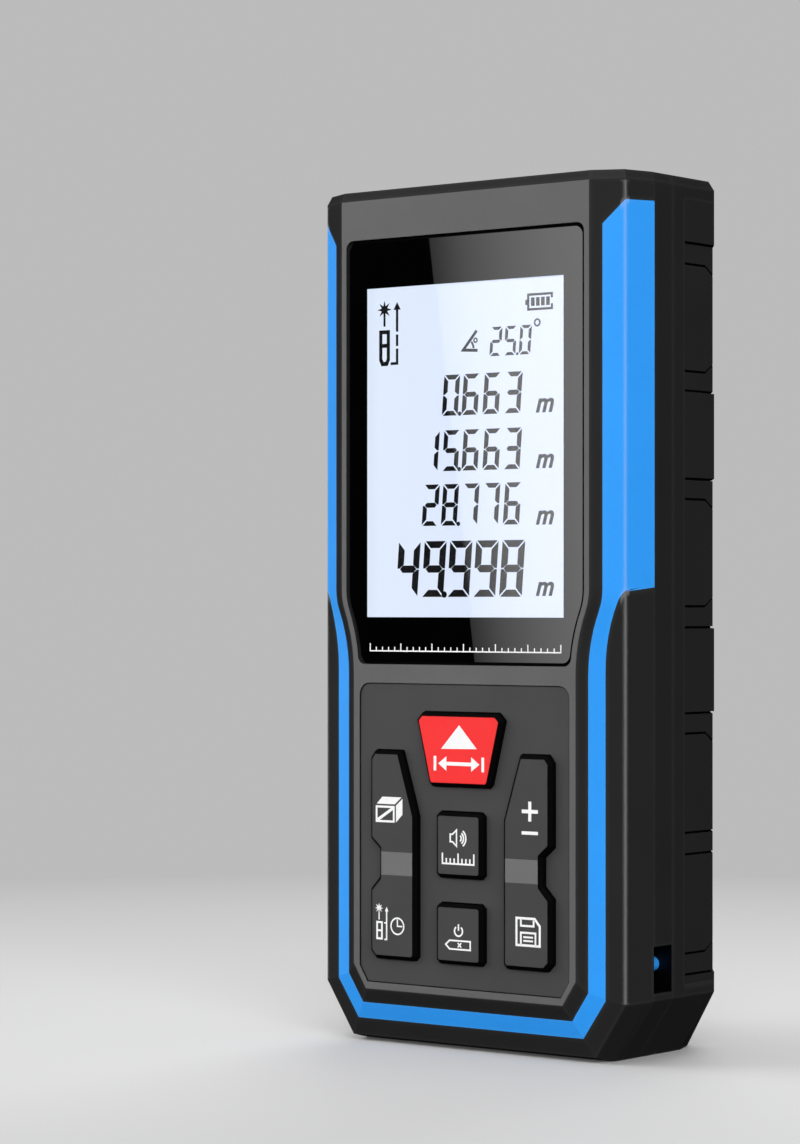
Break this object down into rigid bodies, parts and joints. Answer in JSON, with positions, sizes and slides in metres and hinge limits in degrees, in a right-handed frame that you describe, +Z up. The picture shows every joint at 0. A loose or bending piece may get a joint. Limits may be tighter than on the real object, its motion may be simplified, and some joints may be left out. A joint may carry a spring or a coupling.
{
  "type": "laser distance meter",
  "caption": "Pocket laser distance meter with a backlit display, keypad, blue trim, rubber side grips, lanyard recess and hinged battery door.",
  "frame": {"origin": "bottom centre of the bounding box, on the plane the meter stands on", "axes": "+Z up along the meter towards its laser end, -Y out of the display and keys, +X to the user's right"},
  "size_m": [0.054, 0.0279, 0.119],
  "materials": {
    "shell_black": "fine spark-eroded texture, satin",
    "trim_blue": "smooth satin moulding",
    "grip_rubber": "fine matt texture",
    "window_acrylic": "polished, printed black round the display",
    "foam_black": "closed-cell foam",
    "lcd_glass": "backlit liquid crystal panel",
    "holder_white": "satin moulding",
    "light_guide_acrylic": "clear, dotted back",
    "reflector_film": "white film",
    "contact_rubber": "carbon-loaded silicone",
    "bezel_grey": "fine texture, satin",
    "panel_grey": "fine texture",
    "key_rubber": "silicone",
    "key_red": "satin",
    "key_grey": "satin",
    "key_bar_grey": "satin",
    "board_green": "solder resist",
    "chip_black": "moulded",
    "steel_can": "tinned",
    "chassis_alloy": "die cast",
    "brass": "turned",
    "lens_glass": "polished, coated",
    "red_glass": "polished filter",
    "cell_jacket": "printed jacket",
    "spring_steel": "nickel plated",
    "screw_steel": "black zinc"
  },
  "bodies": {
    "case": {"battery_left": "cell_jacket", "battery_right": "cell_jacket", "blue_trim": "trim_blue", "board_screws": "screw_steel", "buzzer": "chip_black", "case_screws": "screw_steel", "chassis_screws": "screw_steel", "chips": "chip_black", "collimator_lens": "lens_glass", "contact_plates": "spring_steel", "contact_springs": "spring_steel", "crystal": "steel_can", "detector_board": "board_green", "detector_shield": "steel_can", "display_window": "window_acrylic", "front_bezel": "bezel_grey", "front_shell": "shell_black", "grip_left": "grip_rubber", "grip_right": "grip_rubber", "keypad_mat": "key_rubber", "keypad_panel": "panel_grey", "lanyard_post": "trim_blue", "laser_barrel": "brass", "laser_diode": "steel_can", "laser_window": "lens_glass", "lcd_contact_strip": "contact_rubber", "lcd_glass": "lcd_glass", "lcd_holder": "holder_white", "light_guide": "light_guide_acrylic", "light_reflector": "reflector_film", "main_board": "board_green", "optics_bezel": "chip_black", "optics_chassis": "chassis_alloy", "photodiode": "steel_can", "rear_shell": "shell_black", "receiver_barrel": "chip_black", "receiver_lens": "lens_glass", "receiver_window": "red_glass", "tilt_sensor": "chip_black", "window_gasket": "foam_black"},
    "read_key": {"read_cap": "key_red", "read_body": "key_rubber", "read_pills": "contact_rubber"},
    "unit_key": {"unit_cap": "key_grey", "unit_body": "key_rubber", "unit_pills": "contact_rubber"},
    "off_clear_key": {"off_clear_cap": "key_grey", "off_clear_body": "key_rubber", "off_clear_pills": "contact_rubber"},
    "left_rocker_key": {"left_rocker_cap": "key_grey", "left_rocker_body": "key_rubber", "left_rocker_pills": "contact_rubber", "left_rocker_bar": "key_bar_grey"},
    "right_rocker_key": {"right_rocker_cap": "key_grey", "right_rocker_body": "key_rubber", "right_rocker_pills": "contact_rubber", "right_rocker_bar": "key_bar_grey"},
    "door": {"battery_door": "shell_black", "battery_door_latch": "shell_black", "battery_foam": "foam_black"}
  },
  "joints": [
    {"name": "read_press", "type": "slide", "parent": "case", "child": "read_key", "axis": [0, 1, 0], "range_m": [0, 0.0005], "stiffness_N_per_m": 400, "springref_m": -0.0005},
    {"name": "unit_press", "type": "slide", "parent": "case", "child": "unit_key", "axis": [0, 1, 0], "range_m": [0, 0.0005], "stiffness_N_per_m": 400, "springref_m": -0.0005},
    {"name": "off_clear_press", "type": "slide", "parent": "case", "child": "off_clear_key", "axis": [0, 1, 0], "range_m": [0, 0.0005], "stiffness_N_per_m": 400, "springref_m": -0.0005},
    {"name": "left_rock", "type": "hinge", "parent": "case", "child": "left_rocker_key", "pos_m": [-0.0112, -0.0096, 0.02535], "axis": [1, 0, 0], "range_deg": [-1.8, 1.8], "stiffness_Nm_per_rad": 0.05},
    {"name": "right_rock", "type": "hinge", "parent": "case", "child": "right_rocker_key", "pos_m": [0.0112, -0.0096, 0.02535], "axis": [1, 0, 0], "range_deg": [-1.8, 1.8], "stiffness_Nm_per_rad": 0.05},
    {"name": "door_hinge", "type": "hinge", "parent": "case", "child": "door", "pos_m": [0, 0.014, 0.0616], "axis": [1, 0, 0], "range_deg": [0, 95], "deforming": ["battery_door_latch"]}
  ]
}
